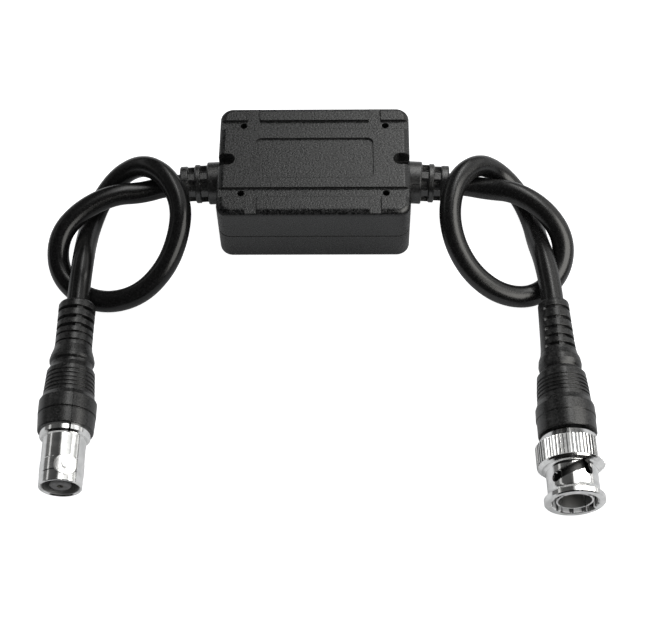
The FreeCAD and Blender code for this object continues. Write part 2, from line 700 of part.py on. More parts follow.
def capacitor(x, y):
    """Ceramic disc on edge with two straight leads through the board."""
    centre_z = BOARD_TOP + CAPACITOR_RADIUS + CAPACITOR_LIFT
    disc = Part.makeCylinder(CAPACITOR_RADIUS, CAPACITOR_THICKNESS,
                             Vector(x, y - CAPACITOR_THICKNESS / 2, centre_z), AXIS_Y)
    rim = CAPACITOR_THICKNESS * 0.4
    disc = disc.makeFillet(rim, [e for e in disc.Edges if e.Curve.TypeId == "Part::GeomCircle"])
    leads = [upright(LEAD_RADIUS, x + sx * LEAD_SPREAD / 2, y, BOARD_BOTTOM - LEAD_PROTRUSION, centre_z)
             for sx in (-1, 1)]
    return fused([disc] + leads)


def resistor():
    """Axial resistor lying on the board, its leads bent down into it."""
    x, y = resistor_place()
    half = RESISTOR_LENGTH / 2 + RESISTOR_LEAD_RUN
    axis_z = BOARD_TOP + RESISTOR_RADIUS
    body = Part.makeCylinder(RESISTOR_RADIUS, RESISTOR_LENGTH, Vector(x - RESISTOR_LENGTH / 2, y, axis_z), AXIS_X)
    body = body.makeFillet(RESISTOR_END_RADIUS, [e for e in body.Edges if e.Curve.TypeId == "Part::GeomCircle"])
    level = Part.makeCylinder(LEAD_RADIUS, 2 * half, Vector(x - half, y, axis_z), AXIS_X)
    drops = [upright(LEAD_RADIUS, x + sx * half, y, BOARD_BOTTOM - LEAD_PROTRUSION, axis_z + LEAD_RADIUS)
             for sx in (-1, 1)]
    return fused([body, level] + drops)


# Boots

def radius_at(outline, station):
    for (s0, r0), (s1, r1) in zip(outline, outline[1:]):
        if s0 <= station <= s1:
            return r0 + (r1 - r0) * (station - s0) / (s1 - s0)
    raise ValueError("station off the outline")


def groove(outline, station, width, depth):
    """Square groove all the way round, cut to a depth below the local surface."""
    floor = radius_at(outline, station) - depth
    return sleeve(station - width / 2, station + width / 2, floor + depth + 1, floor)


def slot_ring(outline, station, webs):
    """Deep groove interrupted by webs that tie the ribs together."""
    surface = radius_at(outline, station)
    ring = sleeve(station - SLOT_WIDTH / 2, station + SLOT_WIDTH / 2, surface + 1, SLOT_FLOOR_RADIUS)
    for angle, width, drop in webs:
        web_top = surface - drop if drop else surface + 2
        ring = ring.cut(spoke(station, angle, width, SLOT_WIDTH + 1, SLOT_FLOOR_RADIUS - 1, web_top))
    return ring


def seam(outline, start, angle):
    """Shallow line left by the mould along the body, down to a depth below its outline."""
    inset = [(s, r - SEAM_DEPTH) for s, r in outline if s >= start]
    core = revolved([(inset[0][0], 0.0)] + inset + [(inset[-1][0], 0.0)])
    blade = box(inset[0][0], inset[-1][0], 2, outline[-1][1] + 1, -SEAM_WIDTH / 2, SEAM_WIDTH / 2)
    blade.rotate(ORIGIN, AXIS_X, angle)
    return blade.cut(core)


def boot(outline, slots, webs, lines, fine_grooves, seat_start, seat_radius):
    length = outline[-1][0]
    body = revolved([(0.0, 0.0)] + outline + [(length, 0.0)])
    ferrule_end = FERRULE_START + FERRULE_LENGTH
    cavity = [rod(-1, JACKET_GRIP, CABLE_RADIUS), rod(JACKET_GRIP, STEM_START, BRAID_DIAMETER / 2),
              rod(FERRULE_START, ferrule_end, FERRULE_RADIUS), rod(ferrule_end, seat_start, STEM_RADIUS),
              rod(seat_start, length + 1, seat_radius)]
    for cutter in cavity:
        body = body.cut(cutter)
    for station in slots:
        body = body.cut(slot_ring(outline, station, webs))
    for station in lines:
        body = body.cut(groove(outline, station, LINE_WIDTH, LINE_DEPTH))
    for station in fine_grooves:
        body = body.cut(groove(outline, station, FINE_GROOVE_WIDTH, FINE_GROOVE_DEPTH))
    return body


def jack_boot():
    body = boot(JACK_BOOT_OUTLINE, JACK_SLOTS, JACK_SLOT_WEBS, JACK_LINES, JACK_FINE_GROOVES,
                JACK_SEAT_START, JACK_SEAT_RADIUS)
    return body.cut(seam(JACK_BOOT_OUTLINE, JACK_SEAM_START, JACK_TOP_ANGLE))


def plug_boot():
    return boot(PLUG_BOOT_OUTLINE, PLUG_SLOTS, PLUG_SLOT_WEBS, [], PLUG_FINE_GROOVES,
                PLUG_SEAT_START, PLUG_SEAT_RADIUS)


def ferrule():
    return sleeve(FERRULE_START, FERRULE_START + FERRULE_LENGTH, FERRULE_RADIUS, FERRULE_BORE_RADIUS)


def cable_braid_end():
    """Braid between the jacket's end and the stem it is crimped on."""
    return sleeve(JACKET_GRIP, STEM_START, BRAID_DIAMETER / 2, CORE_DIAMETER / 2)


def cable_core_end(end):
    return sleeve(JACKET_GRIP, end, CORE_DIAMETER / 2, CONDUCTOR_DIAMETER / 2)


def cable_conductor_end(end):
    return rod(JACKET_GRIP, end, CONDUCTOR_DIAMETER / 2)


# Jack

def jack_body():
    flange_end = JACK_FLANGE_START + JACK_FLANGE_LENGTH
    chamfer = JACK_FLANGE_CHAMFER
    body = revolved([
        (STEM_START, STEM_BORE_RADIUS), (STEM_START, STEM_RADIUS), (JACK_SEAT_START, STEM_RADIUS),
        (JACK_SEAT_START, JACK_SEAT_RADIUS), (JACK_FLANGE_START, JACK_SEAT_RADIUS),
        (JACK_FLANGE_START, JACK_FLANGE_RADIUS), (flange_end - chamfer, JACK_FLANGE_RADIUS),
        (flange_end, JACK_FLANGE_RADIUS - chamfer), (flange_end, JACK_BARREL_RADIUS),
        (JACK_BAND_START, JACK_BARREL_RADIUS), (JACK_BAND_START + JACK_BAND_RAMP, JACK_BAND_RADIUS),
        (JACK_BAND_END - JACK_BAND_RAMP, JACK_BAND_RADIUS), (JACK_BAND_END, JACK_BARREL_RADIUS),
        (JACK_LENGTH - JACK_RIM_CHAMFER, JACK_BARREL_RADIUS), (JACK_LENGTH, JACK_BARREL_RADIUS - JACK_RIM_CHAMFER),
        (JACK_LENGTH, JACK_CAVITY_RADIUS + JACK_MOUTH_CHAMFER), (JACK_LENGTH - JACK_MOUTH_CHAMFER, JACK_CAVITY_RADIUS),
        (JACK_CAVITY_START, JACK_CAVITY_RADIUS),
        (JACK_CAVITY_START, JACK_INSULATOR_RADIUS), (JACK_INSULATOR_START, JACK_INSULATOR_RADIUS),
        (JACK_INSULATOR_START, STEM_BORE_RADIUS)])
    slit = box(JACK_FLANGE_START, flange_end, JACK_FLANGE_SLIT_FLOOR, JACK_FLANGE_RADIUS + 1,
               -JACK_FLANGE_SLIT / 2, JACK_FLANGE_SLIT / 2)
    slit.rotate(ORIGIN, AXIS_X, JACK_TOP_ANGLE)
    body = body.cut(slit)
    for angle in lug_angles():
        body = body.cut(radial_rod(LUG_STATION, angle, LUG_SHANK_RADIUS, LUG_SHANK_START, LUG_TIP_RADIUS))
        body = body.cut(lug_seat(angle, LUG_PAD_RADIUS + LUG_PAD_SEAT_GAP, LUG_TIP_RADIUS))
    return body


def lug_angles():
    return JACK_TOP_ANGLE, JACK_TOP_ANGLE + 180


def lug_seat(angle, radius, top):
    """Round pad about a lug's axis, with a seat turned concentric with the barrel."""
    pad = radial_rod(LUG_STATION, angle, radius, 0, top)
    return pad.cut(rod(JACK_FLANGE_START, JACK_LENGTH, LUG_PAD_SEAT_RADIUS))


def bayonet_lugs():
    """Two stepped pins pressed into the barrel: shank, low crowned pad and lug."""
    lugs = []
    for angle in lug_angles():
        pad = lug_seat(angle, LUG_PAD_RADIUS, LUG_TIP_RADIUS)
        pad = pad.common(rod(JACK_FLANGE_START, JACK_LENGTH, LUG_PAD_CROWN_RADIUS))
        lug = radial_rod(LUG_STATION, angle, LUG_RADIUS, LUG_PAD_SEAT_RADIUS, LUG_TIP_RADIUS)
        shank = radial_rod(LUG_STATION, angle, LUG_SHANK_RADIUS, LUG_SHANK_START, LUG_PAD_SEAT_RADIUS + 0.1)
        lugs.append(fused([pad, lug, shank]))
    return Part.makeCompound(lugs)


def jack_insulator():
    front = JACK_LENGTH - JACK_INSULATOR_SETBACK
    contact_front = JACK_LENGTH - JACK_CONTACT_SETBACK
    return revolved([
        (JACK_INSULATOR_START, JACK_CONTACT_RADIUS), (JACK_INSULATOR_START, JACK_INSULATOR_RADIUS),
        (JACK_CAVITY_START, JACK_INSULATOR_RADIUS), (JACK_CAVITY_START, JACK_INSULATOR_NOSE_RADIUS),
        (front - JACK_INSULATOR_NOSE_CHAMFER, JACK_INSULATOR_NOSE_RADIUS),
        (front, JACK_INSULATOR_NOSE_RADIUS - JACK_INSULATOR_NOSE_CHAMFER), (front, JACK_SOCKET_MOUTH_RADIUS),
        (contact_front, JACK_SOCKET_MOUTH_RADIUS), (contact_front, JACK_CONTACT_RADIUS)])


def jack_contact():
    """Female contact: solder end at the back, slotted socket at the front."""
    front = JACK_LENGTH - JACK_CONTACT_SETBACK
    socket_floor = front - JACK_SOCKET_DEPTH
    wire_depth = CONTACT_WIRE_DEPTH
    contact = revolved([
        (JACK_INSULATOR_START, CONDUCTOR_DIAMETER / 2), (JACK_INSULATOR_START, JACK_CONTACT_RADIUS),
        (front, JACK_CONTACT_RADIUS), (front, JACK_SOCKET_RADIUS), (socket_floor, JACK_SOCKET_RADIUS),
        (socket_floor, 0.0), (JACK_INSULATOR_START + wire_depth, 0.0),
        (JACK_INSULATOR_START + wire_depth, CONDUCTOR_DIAMETER / 2)])
    half = JACK_SOCKET_SLOT / 2
    return contact.cut(box(front - JACK_SOCKET_SLOT_LENGTH, front, -half, half, -2, 2))


# Plug

def plug_body():
    body = revolved([
        (STEM_START, STEM_BORE_RADIUS), (STEM_START, STEM_RADIUS), (PLUG_SEAT_START, STEM_RADIUS),
        (PLUG_SEAT_START, PLUG_SEAT_RADIUS), (COLLAR_START, PLUG_SEAT_RADIUS), (COLLAR_START, COLLAR_RADIUS),
        (COLLAR_END, COLLAR_RADIUS), (COLLAR_END, PLUG_SHELL_NECK_RADIUS),
        (PLUG_SHELL_LAND_START, PLUG_SHELL_NECK_RADIUS), (PLUG_SHELL_LAND_START, PLUG_SHELL_RADIUS),
        (PLUG_SHELL_END, PLUG_SHELL_RADIUS), (PLUG_SHELL_END, PLUG_SHELL_BORE_RADIUS),
        (PLUG_INSULATOR_START, PLUG_SHELL_BORE_RADIUS), (PLUG_INSULATOR_START, STEM_BORE_RADIUS)])
    half = PLUG_SHELL_SLOT / 2
    for k in range(PLUG_SHELL_SLOTS // 2):
        slot = box(PLUG_SHELL_END - PLUG_SHELL_SLOT_LENGTH, PLUG_SHELL_END, -half, half,
                   -PLUG_SHELL_RADIUS - 1, PLUG_SHELL_RADIUS + 1)
        slot.rotate(ORIGIN, AXIS_X, 45 + k * 360 / PLUG_SHELL_SLOTS)
        body = body.cut(slot)
    return body


def plug_insulator():
    return sleeve(PLUG_INSULATOR_START, PLUG_INSULATOR_END, PLUG_SHELL_BORE_RADIUS, PLUG_PIN_SHANK_RADIUS)


def plug_pin():
    wire_depth = CONTACT_WIRE_DEPTH
    tip_start = PLUG_PIN_END - PLUG_PIN_TIP
    return revolved([
        (PLUG_INSULATOR_START, CONDUCTOR_DIAMETER / 2), (PLUG_INSULATOR_START, PLUG_PIN_SHANK_RADIUS),
        (PLUG_INSULATOR_END, PLUG_PIN_SHANK_RADIUS), (PLUG_INSULATOR_END, PLUG_PIN_RADIUS),
        (tip_start, PLUG_PIN_RADIUS), (PLUG_PIN_END, PLUG_PIN_RADIUS / 3), (PLUG_PIN_END, 0.0),
        (PLUG_INSULATOR_START + wire_depth, 0.0), (PLUG_INSULATOR_START + wire_depth, CONDUCTOR_DIAMETER / 2)])


def plug_gasket():
    return sleeve(COLLAR_END, COLLAR_END + GASKET_THICKNESS, GASKET_RADIUS, PLUG_SHELL_NECK_RADIUS)


def thrust_washer_start():
    return COLLAR_START - SPRING_HEIGHT - WASHER_THICKNESS


def thrust_washer():
    start = thrust_washer_start()
    return sleeve(start, start + WASHER_THICKNESS, COLLAR_RADIUS, PLUG_SEAT_RADIUS + WASHER_CLEARANCE)


def wave_spring():
    """Flat ring bent into waves, between the thrust washer and the collar."""
    swing = (SPRING_HEIGHT - SPRING_THICKNESS) / 2
    middle = COLLAR_START - SPRING_HEIGHT / 2
    steps = 8 * SPRING_WAVES
    sections = []
    for k in range(steps):
        angle = 2 * math.pi * k / steps
        station = middle + swing * math.cos(SPRING_WAVES * angle)
        around = Vector(0, math.cos(angle), math.sin(angle))
        near, far = station - SPRING_THICKNESS / 2, station + SPRING_THICKNESS / 2
        corners = [Vector(near, 0, 0) + around * SPRING_INNER_RADIUS, Vector(near, 0, 0) + around * SPRING_OUTER_RADIUS,
                   Vector(far, 0, 0) + around * SPRING_OUTER_RADIUS, Vector(far, 0, 0) + around * SPRING_INNER_RADIUS]
        sections.append(Part.makePolygon(corners + corners[:1]))
    return Part.makeLoft(sections + sections[:1], True, True)


def retaining_ring():
    """Open snap ring in the coupling ring's groove, behind the thrust washer."""
    end = thrust_washer_start()
    ring = sleeve(end - RETAINER_THICKNESS, end, RETAINER_GROOVE_RADIUS, RETAINER_INNER_RADIUS)
    half = RETAINER_GAP_WIDTH / 2
    return ring.cut(box(end - 1, end + 1, -half, half, -RETAINER_GROOVE_RADIUS - 1, 0))


def knurled_band():
    """Straight knurl: a toothed outline run along the axis."""
    points = []
    for k in range(KNURL_TEETH):
        for offset, radius in ((-0.16, KNURL_RADIUS), (0.16, KNURL_RADIUS), (0.5, KNURL_RADIUS - KNURL_DEPTH)):
            angle = 2 * math.pi * (k + offset) / KNURL_TEETH
            points.append(Vector(KNURL_START, radius * math.sin(angle), radius * math.cos(angle)))
    face = Part.Face(Part.makePolygon(points + points[:1]))
    return face.extrude(Vector(KNURL_END - KNURL_START, 0, 0))


def ring_outline():
    """Turned outside of the coupling ring under its knurl, back to front."""
    root = KNURL_RADIUS - KNURL_DEPTH
    return [(RING_START, RING_REAR_RADIUS), (KNURL_START, root), (KNURL_END, root),
            (KNURL_END + 0.4, root - 0.25), (KNURL_END + 0.8, root - 0.65)]


def ring_blank():
    outline = ring_outline()
    points = [Vector(s, r, 0) for s, r in [(RING_START, 0)] + outline]
    cove_start = points[-1]
    cove_end = Vector(RING_BARREL_START, RING_BARREL_RADIUS, 0)
    cove_middle = Vector(cove_start.x + 0.12, (cove_start.y + cove_end.y) / 2 - 0.1, 0)
    flare_start = Vector(RING_BARREL_END, RING_BARREL_RADIUS, 0)
    flare_end = Vector(RING_RIM_START, RING_RIM_RADIUS, 0)
    flare_middle = Vector(RING_BARREL_END + 0.85, RING_BARREL_RADIUS + 0.28, 0)
    front = [flare_end, Vector(RING_END - RING_RIM_CHAMFER, RING_RIM_RADIUS, 0),
             Vector(RING_END, RING_RIM_RADIUS - RING_RIM_CHAMFER, 0), Vector(RING_END, 0, 0), points[0]]
    edges = [Part.makeLine(a, b) for a, b in zip(points, points[1:])]
    edges.append(Part.Arc(cove_start, cove_middle, cove_end).toShape())
    edges.append(Part.makeLine(cove_end, flare_start))
    edges.append(Part.Arc(flare_start, flare_middle, flare_end).toShape())
    edges += [Part.makeLine(a, b) for a, b in zip(front, front[1:])]
    return Part.Face(Part.Wire(edges)).revolve(ORIGIN, AXIS_X, 360)


def bayonet_track(top_angle):
    """Entry groove, ramp and detent for one lug, turned to start from the given angle."""
    half = SLOT_PATH_WIDTH / 2
    inner = RING_BORE_RADIUS - 0.6
    entry_angle = top_angle - SLOT_ENTRY_ANGLE
    end_angle = top_angle - SLOT_END_ANGLE
    detent_angle = top_angle - DETENT_ANGLE
    entry = box(SLOT_ENTRY_STATION, RING_END + 1, inner, RING_BORE_RADIUS + 2, -half, half)
    entry.rotate(ORIGIN, AXIS_X, entry_angle)
    entry = entry.common(rod(SLOT_ENTRY_STATION, RING_END + 1, LUG_TRACK_RADIUS))
    through = [radial_rod(SLOT_ENTRY_STATION, entry_angle, half, inner, RING_BARREL_RADIUS + 1),
               radial_rod(SLOT_ENTRY_STATION - SLOT_RISE, end_angle, half, inner, RING_BARREL_RADIUS + 1),
               radial_rod(DETENT_STATION, detent_angle, half, inner, RING_BARREL_RADIUS + 1)]
    steps = 12
    for k in range(1, steps):
        share = k / steps
        angle = entry_angle + (end_angle - entry_angle) * share
        through.append(radial_rod(SLOT_ENTRY_STATION - SLOT_RISE * share, angle, half, inner, RING_BARREL_RADIUS + 1))
    return [entry] + through


def coupling_ring():
    ring = ring_blank().fuse(knurled_band()).removeSplitter()
    pocket_radius = COLLAR_RADIUS + RING_POCKET_CLEARANCE
    shoulder = COLLAR_END + RING_SHOULDER_GAP
    washer_start = thrust_washer_start()
    mouth = RING_MOUTH_CHAMFER
    inside = revolved([
        (RING_START - 1, 0), (RING_START - 1, pocket_radius), (washer_start - RETAINER_THICKNESS, pocket_radius),
        (washer_start - RETAINER_THICKNESS, RETAINER_GROOVE_RADIUS), (washer_start, RETAINER_GROOVE_RADIUS),
        (washer_start, pocket_radius), (shoulder, pocket_radius), (shoulder, RING_BORE_RADIUS),
        (RING_END - mouth, RING_BORE_RADIUS), (RING_END, RING_BORE_RADIUS + mouth),
        (RING_END + 1, RING_BORE_RADIUS + mouth), (RING_END + 1, 0)])
    ring = ring.cut(inside)
    for top_angle in (90, 270):
        for cutter in bayonet_track(top_angle):
            ring = ring.cut(cutter)
    return ring


# The whole product

def box_parts():
    nodes = {
        "upper_shell": upper_shell(), "lower_shell": lower_shell(), "circuit_board": circuit_board(),
        "toroid_core": toroid_core(), "primary_winding": winding(WINDING_FIRST_ANGLE),
        "secondary_winding": winding(WINDING_FIRST_ANGLE + 180), "resistor": resistor()}
    for (x, y), name in zip(capacitor_places(), ("capacitor_left", "capacitor_right")):
        nodes[name] = capacitor(x, y)
    braid, core = lead_end_parts()
    for side, word in ((-1, "left"), (1, "right")):
        nodes["strain_relief_" + word] = at_end_wall(strain_relief(), side)
        nodes["braid_" + word] = at_end_wall(braid, side)
        nodes["dielectric_" + word] = at_end_wall(core, side)
        nodes["conductor_" + word] = at_end_wall(conductor_wire(), side)
    return nodes


def jack_parts():
    wire_depth = CONTACT_WIRE_DEPTH - CONTACT_WIRE_GAP
    parts = {
        "jack_boot": jack_boot(), "jack_ferrule": ferrule(), "jack_braid": cable_braid_end(),
        "jack_dielectric": cable_core_end(JACK_INSULATOR_START),
        "jack_conductor": cable_conductor_end(JACK_INSULATOR_START + wire_depth),
        "jack_body": jack_body(), "bayonet_lugs": bayonet_lugs(), "jack_insulator": jack_insulator(),
        "jack_contact": jack_contact()}
    return {name: placed(shape, JACK_PLACE) for name, shape in parts.items()}


def plug_parts():
    wire_depth = CONTACT_WIRE_DEPTH - CONTACT_WIRE_GAP
    parts = {
        "plug_boot": plug_boot(), "plug_ferrule": ferrule(), "plug_braid": cable_braid_end(),
        "plug_dielectric": cable_core_end(PLUG_INSULATOR_START),
        "plug_conductor": cable_conductor_end(PLUG_INSULATOR_START + wire_depth),
        "plug_body": plug_body(), "plug_insulator": plug_insulator(), "plug_pin": plug_pin(),
        "plug_gasket": plug_gasket(), "wave_spring": wave_spring(), "thrust_washer": thrust_washer(),
        "retaining_ring": retaining_ring(), "coupling_ring": coupling_ring()}
    return {name: placed(shape, PLUG_PLACE) for name, shape in parts.items()}


def lead_parts():
    return {"lead_left": lead("lead_left", full_route(-1, LEFT_ROUTE, JACK_PLACE)),
            "lead_right": lead("lead_right", full_route(1, RIGHT_ROUTE, PLUG_PLACE))}


def main():
    os.makedirs("parts", exist_ok=True)
    nodes = {}
    for group in (box_parts(), jack_parts(), plug_parts(), lead_parts()):
        nodes.update(group)
    for name, shape in nodes.items():
        valid = shape.isValid() and all(solid.isValid() for solid in shape.Solids)
        print(name, "solids", len(shape.Solids), "volume", round(shape.Volume, 2), "valid", valid)
        shape.exportStep("parts/" + name + ".step")


main()
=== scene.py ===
"""Studio picture of a video ground loop isolator: a black box between two knotted coaxial leads.

Metres, in the frame of the model: +X from the jack lead to the plug lead, +Y away from the
connectors, +Z up.
"""
import json
import math

import bpy
from mathutils import Matrix, Vector


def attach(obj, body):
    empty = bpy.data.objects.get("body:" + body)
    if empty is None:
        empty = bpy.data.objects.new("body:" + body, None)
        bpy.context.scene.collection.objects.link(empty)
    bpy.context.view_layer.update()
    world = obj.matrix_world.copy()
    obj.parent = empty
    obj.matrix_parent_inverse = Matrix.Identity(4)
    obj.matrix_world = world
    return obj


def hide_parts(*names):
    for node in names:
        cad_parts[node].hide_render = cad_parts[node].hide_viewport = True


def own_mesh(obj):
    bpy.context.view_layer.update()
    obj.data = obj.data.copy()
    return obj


MM = 0.001

# Camera, as the photograph was taken
CAMERA_PLACE = (0.0093739, -0.2204045, 0.301415)
CAMERA_RIGHT = (0.999819, 0.008479, -0.017035)
CAMERA_UP = (0.001799, 0.849085, 0.528253)
CAMERA_FORWARD = (-0.018943, 0.528188, -0.848916)
CAMERA_LENS = 82.69
CAMERA_SENSOR = 36.0
CAMERA_CLIP = (0.01, 10.0)

# Leads: the same points as the model's route, in millimetres
CABLE_DIAMETER = 5.2
LEFT_ROUTE = [
    (-29.989, -0.391, 8.5), (-35.98, -0.726, 8.5), (-42.0, -3.0, 8.5), (-49.0, -4.5, 10.0),
    (-56.5, -9.0, 9.5), (-61.5, -15.0, 7.5), (-61.5, -22.5, 4.0), (-56.5, -28.5, 2.5),
    (-49.0, -31.5, 3.0), (-41.0, -30.0, 4.5), (-35.0, -24.5, 7.5), (-32.0, -17.5, 11.0),
    (-31.5, -10.0, 14.0), (-35.5, -2.5, 15.0), (-41.5, 2.5, 13.0), (-48.0, 3.0, 8.0),
    (-53.0, -1.5, 3.5), (-55.0, -9.0, 3.0), (-55.0, -16.5, 6.0), (-54.5, -24.0, 9.5),
    (-55.081, -31.502, 7.52), (-55.015, -38.998, 7.284)]
RIGHT_ROUTE = [
    (29.989, -0.391, 8.5), (35.98, -0.726, 8.5), (42.0, -2.2, 8.5), (48.5, -4.0, 10.0),
    (55.5, -9.0, 9.5), (60.0, -15.5, 6.5), (59.0, -23.0, 3.5), (53.0, -29.5, 2.5),
    (45.0, -30.0, 3.5), (38.0, -26.0, 6.0), (33.5, -19.5, 9.5), (32.0, -12.0, 13.0),
    (34.0, -4.0, 15.0), (39.5, 2.0, 13.5), (45.0, 3.5, 8.0), (50.5, -0.5, 3.5),
    (53.2, -7.5, 2.5), (53.7, -15.5, 5.0), (54.4, -23.0, 9.0), (55.614, -31.801, 8.079),
    (55.798, -39.298, 7.974)]
LEFT_EXIT = (-32.635, -0.539, 8.5)
RIGHT_EXIT = (32.635, -0.539, 8.5)
LEFT_LENGTH = 0.163
RIGHT_LENGTH = 0.157
CORD_ORDER = 3
CORD_RESOLUTION = 12
CORD_ROUNDNESS = 8
JACK_PIECES = ["jack_boot", "jack_ferrule", "jack_braid", "jack_dielectric", "jack_conductor",
               "jack_body", "bayonet_lugs", "jack_insulator", "jack_contact"]
PLUG_PIECES = ["plug_boot", "plug_ferrule", "plug_braid", "plug_dielectric", "plug_conductor",
               "plug_body", "plug_insulator", "plug_pin", "plug_gasket", "wave_spring",
               "thrust_washer", "retaining_ring", "coupling_ring"]

# Axes of the connectors, and the zones along and round them that get painted shade, darker and
# duller, and in the coupling ring's mouth a painted reflection
JACK_TAIL = (-0.05505, -0.035, 0.00741)
JACK_AXIS = (0.00872223, -0.9994685, -0.03141076)
JACK_BORE_FROM = 0.037
JACK_BORE_WITHIN = 0.0042
JACK_FLANGE = (0.0327, 0.0346)
JACK_SLIT_ANGLE = 20.5
JACK_SLIT_HALF_WIDTH = 0.00021
JACK_SLIT_FLOOR = 0.0041
PLUG_TAIL = (0.0557, -0.0353, 0.00803)
PLUG_AXIS = (0.0244298, -0.99960404, -0.01396218)
PLUG_DARK_BEHIND = 0.047
PLUG_BORE_FROM = 0.044
PLUG_BORE_WITHIN = 0.0037
RING_MOUTH_FROM = 0.0472
RING_MOUTH_WITHIN = 0.0052
# Greys painted into those zones as shade: the jack's bore, the jack's flange slit, the plug's shell
# behind the ring's slot, and the plug's bore
JACK_BORE_PAINTED_SHADE = 0.5
JACK_SLIT_PAINTED_SHADE = 0.01
PLUG_GAP_PAINTED_SHADE = 0.05
PLUG_BORE_PAINTED_SHADE = 0.28
ZONE_ROUGH = 0.5

# Floor: its glow is what the camera and, much weaker, shiny surfaces see of it
FLOOR_SIZE = 3.0
FLOOR_GLOW = 0.9
FLOOR_REFLECTED_GLOW = 0.05
FLOOR_COLOUR = (0.71, 0.717, 0.724)
FLOOR_FAR_COLOUR = (0.12, 0.12, 0.12)
FLOOR_NEAR = 0.1
FLOOR_FAR = 0.35
FLOOR_ROUGH = 0.9

# Lights: the key only lights dull surfaces, and the card is only seen in shiny ones
WORLD_SOFT = 0.62
KEY_POWER = 2.2
KEY_SIZE = (0.5, 0.5)
KEY_PLACE = (0.3, 0.2, 0.65)
CARD_BRIGHTNESS = 4.8
CARD_SIZE = (0.19, 0.13)
CARD_PLACE = (0.135, -0.07, 0.113)
CARD_COLOUR = (1.0, 0.985, 0.94)

# What shiny surfaces see round the table: angle from straight up towards +X in degrees, and
# brightness
REFLECTED_BANDS = [
    (-118, 0.7), (-108, 0.2), (-80, 0.15), (-69, 0.15), (-66, 0.9), (-61, 0.9), (-58, 0.1),
    (-18, 0.06), (-8, 0.1), (-1, 1.9), (8, 2.0), (10, 9.0), (13.5, 9.0), (16, 1.9), (22, 1.3),
    (38, 1.2), (44, 0.7), (49, 0.7), (54, 1.3), (68, 1.3), (73, 0.5), (79, 0.5), (85, 1.2),
    (98, 1.2), (105, 0.5), (116, 0.5), (122, 0.7)]
BAND_SCALE = 9.0
BAND_TINT = (1.0, 1.0, 0.985)
# Share of that brightness, by how far a direction points away from the camera's side (-Y to +Y)
REFLECTED_DEPTH = [
    (-0.45, 0.01), (-0.05, 0.03), (0.25, 0.7), (0.4, 1.0), (0.75, 0.9), (0.92, 0.2)]
DEPTH_SCALE = 2.0
# What a second reflection sees instead, such as in the mouths of the connectors
TWICE_REFLECTED = 0.6
SECOND_REFLECTION = 1.5

# Case
CASE_GRAIN = 0.5
CASE_CLOUD = 5.0
CASE_GRAIN_SHARE = 0.85
CASE_TONES = [
    (0.4, (0.0025, 0.0026, 0.0028)), (0.5, (0.006, 0.0062, 0.0066)), (0.62, (0.016, 0.0164, 0.017))]
CASE_ROUGH_SWING = 0.8
CASE_ROUGH = -0.1
CASE_EDGE_RADIUS = 0.22
CASE_EDGE_DULLING = 8.0
CASE_EDGE_DULLEST = 0.5
CASE_BUMP = 0.055
CASE_SPECULAR = 0.48

# Boots and strain reliefs
RUBBER_GRAIN = 0.5
RUBBER_CLOUD = 3.0
RUBBER_GRAIN_SHARE = 0.75
RUBBER_TONES = [(0.4, 0.006), (0.52, 0.012), (0.64, 0.034)]
RUBBER_ROUGH_SWING = 0.3
RUBBER_ROUGH = 0.15
RUBBER_EDGE_RADIUS = 0.16
RUBBER_BUMP = 0.025
RUBBER_BUMP_STRENGTH = 0.8
BOOT_SPECULAR = 0.4
RELIEF_SPECULAR = 0.85
EDGE_SAMPLES = 8

# Jackets of the leads
JACKET_WAVE = 5.0
JACKET_GRAIN = 0.5
JACKET_TONES = [(0.35, 0.004), (0.7, 0.009)]
JACKET_ROUGH_SWING = 0.12
JACKET_BUMP = 0.08
JACKET_BUMP_STRENGTH = 0.3
LEFT_JACKET = {"roughness": 0.16, "specular": 0.29}
RIGHT_JACKET = {"roughness": 0.2, "specular": 0.46}

# Nickel plate
PLATE_TINT = (0.86, 0.86, 0.855)
PLATE_ROUGH = 0.09
PLATE_SWING = 0.1
PLATE_STAIN = 1.6
PLATE_STAIN_SHARE = 0.84
PLATE_GRAIN = 0.15
PLATE_BUMP = 0.004
PLATE_BUMP_STRENGTH = 0.35
DRAWN_WIDTH = 0.9
DRAWN_LENGTH = 12.0
DRAWN_BUMP = 0.05
DRAWN_BUMP_STRENGTH = 0.7
# Painted reflection inside the coupling ring's mouth: light and dark streaks, on a surface kept
# mostly non-metal so they show
MOUTH_PAINTED_REFLECTION = [(0.42, 0.1), (0.52, 0.95)]
MOUTH_METALLIC = 0.15

# Pieces that are small or hidden
MOTTLE_ROUGH_SWING = 0.15
MOTTLE_BUMP = 0.01
MOTTLE_BUMP_STRENGTH = 0.4
BRAID_SCALE = 700.0
BRAID_DISTORTION = 2.0
BRAID_TONES = [(0.2, (0.25, 0.12, 0.06)), (0.8, (0.7, 0.42, 0.26))]
BRAID_BUMP = 0.05
BRAID_BUMP_STRENGTH = 0.6
BRAID_ROUGH = 0.35

OWN_MATERIALS = {"bayonet_lugs": "lugs", "jack_body": "jack_body", "plug_body": "plug_body",
                 "coupling_ring": "ring", "strain_relief_left": "relief",
                 "strain_relief_right": "relief", "lead_right": "right_jacket"}

# Colour sockets of a Mix node, which share their names with its other sockets
MIX_FIRST = 6
MIX_SECOND = 7
MIX_RESULT = 2


# Node helpers

def new_material(name):
    material = bpy.data.materials.new(name)
    material.use_nodes = True
    tree = material.node_tree
    return material, tree, tree.nodes["Principled BSDF"]


def add(tree, kind, **values):
    """A node with its inputs set by name, or its own settings where no input has that name."""
    node = tree.nodes.new(kind)
    for key, value in values.items():
        if key in node.inputs:
            node.inputs[key].default_value = value
        else:
            setattr(node, key, value)
    return node


